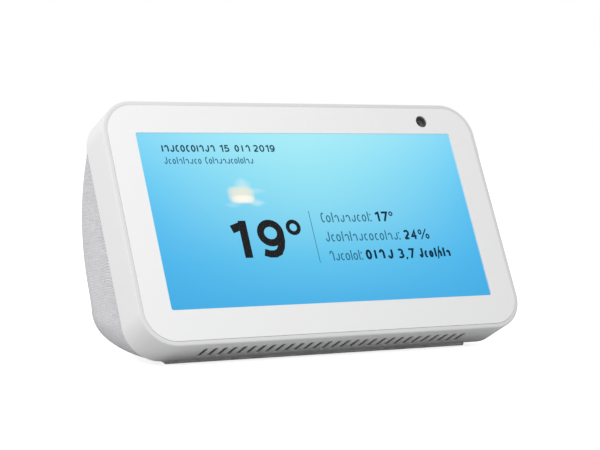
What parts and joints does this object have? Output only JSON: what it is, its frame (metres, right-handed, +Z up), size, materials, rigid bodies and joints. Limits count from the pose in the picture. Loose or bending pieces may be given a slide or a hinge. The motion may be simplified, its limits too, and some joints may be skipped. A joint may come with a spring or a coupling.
{
  "type": "smart display",
  "caption": "Tabletop smart display with a leaning flush-glass touch screen, top controls with a camera shutter, and a fabric-covered rear body holding a loudspeaker and sockets.",
  "frame": {"origin": "middle of the bounding box, on the surface the foot stands on", "axes": "+X to the right as the screen is read, the screen looks towards -Y and leans back, +Z up"},
  "size_m": [0.148, 0.0729, 0.0859],
  "materials": {
    "white_plastic": "satin moulded",
    "cover_glass": "polished, clear",
    "white_mask": "printed white",
    "display_panel": "lit screen",
    "body_fabric": "fine light grey weave",
    "housing_plastic": "moulded",
    "foot_rubber": "matt",
    "black_plastic": "moulded",
    "lens_glass": "coated",
    "steel": "plated",
    "aluminium": "machined",
    "circuit_board": "solder mask",
    "flex_cable": "film",
    "speaker_paper": "coated paper",
    "soft_pad": "soft"
  },
  "bodies": {
    "body": {"front_frame": "white_plastic", "touch_glass": "cover_glass", "bezel_mask": "white_mask", "display_panel": "display_panel", "display_flex": "flex_cable", "display_bracket": "steel", "bracket_screw_1": "steel", "bracket_screw_2": "steel", "bracket_screw_3": "steel", "bracket_screw_4": "steel", "main_board": "circuit_board", "board_screw_1": "steel", "board_screw_2": "steel", "processor_shield": "steel", "radio_shield": "steel", "thermal_pad": "soft_pad", "heat_sink": "aluminium", "antenna": "flex_cable", "mute_switch": "black_plastic", "volume_down_switch": "black_plastic", "volume_up_switch": "black_plastic", "microphone_left": "steel", "microphone_right": "steel", "microphone_boot_left": "foot_rubber", "microphone_boot_right": "foot_rubber", "button_board": "circuit_board", "button_flex": "flex_cable", "camera_module": "black_plastic", "camera_lens": "lens_glass", "fabric_cover": "body_fabric", "rear_housing": "housing_plastic", "speaker_basket": "steel", "speaker_magnet": "steel", "speaker_surround": "foot_rubber", "speaker_tub": "black_plastic", "speaker_screw_1": "steel", "speaker_screw_2": "steel", "speaker_screw_3": "steel", "speaker_screw_4": "steel", "port_plate": "black_plastic", "io_board": "circuit_board", "power_socket": "black_plastic", "usb_socket": "steel", "audio_socket": "black_plastic", "io_cable": "flex_cable", "speaker_lead": "black_plastic", "base_plate": "housing_plastic", "rubber_foot": "foot_rubber", "base_screw_1": "steel", "base_screw_2": "steel", "base_screw_3": "steel", "base_screw_4": "steel"},
    "mute_key": {"mute_button": "white_plastic", "mute_plunger": "black_plastic"},
    "volume_down_key": {"volume_down_button": "white_plastic", "volume_down_plunger": "black_plastic"},
    "volume_up_key": {"volume_up_button": "white_plastic", "volume_up_plunger": "black_plastic"},
    "shutter": {"camera_shutter": "white_plastic"},
    "diaphragm": {"speaker_cone": "speaker_paper"}
  },
  "joints": [
    {"name": "mute_press", "type": "slide", "parent": "body", "child": "mute_key", "axis": [0, -0.4258, -0.9048], "range_m": [0, 0.0006], "stiffness_N_per_m": 400, "springref_m": -0.0005},
    {"name": "volume_down_press", "type": "slide", "parent": "body", "child": "volume_down_key", "axis": [0, -0.4258, -0.9048], "range_m": [0, 0.0006], "stiffness_N_per_m": 400, "springref_m": -0.0005},
    {"name": "volume_up_press", "type": "slide", "parent": "body", "child": "volume_up_key", "axis": [0, -0.4258, -0.9048], "range_m": [0, 0.0006], "stiffness_N_per_m": 400, "springref_m": -0.0005},
    {"name": "shutter_slide", "type": "slide", "parent": "body", "child": "shutter", "axis": [-1, 0, 0], "range_m": [0, 0.0054]},
    {"name": "speaker_cone_slide", "type": "slide", "parent": "body", "child": "diaphragm", "axis": [0, 0.9063, 0.4226], "range_m": [-0.001, 0.001], "stiffness_N_per_m": 1800}
  ]
}
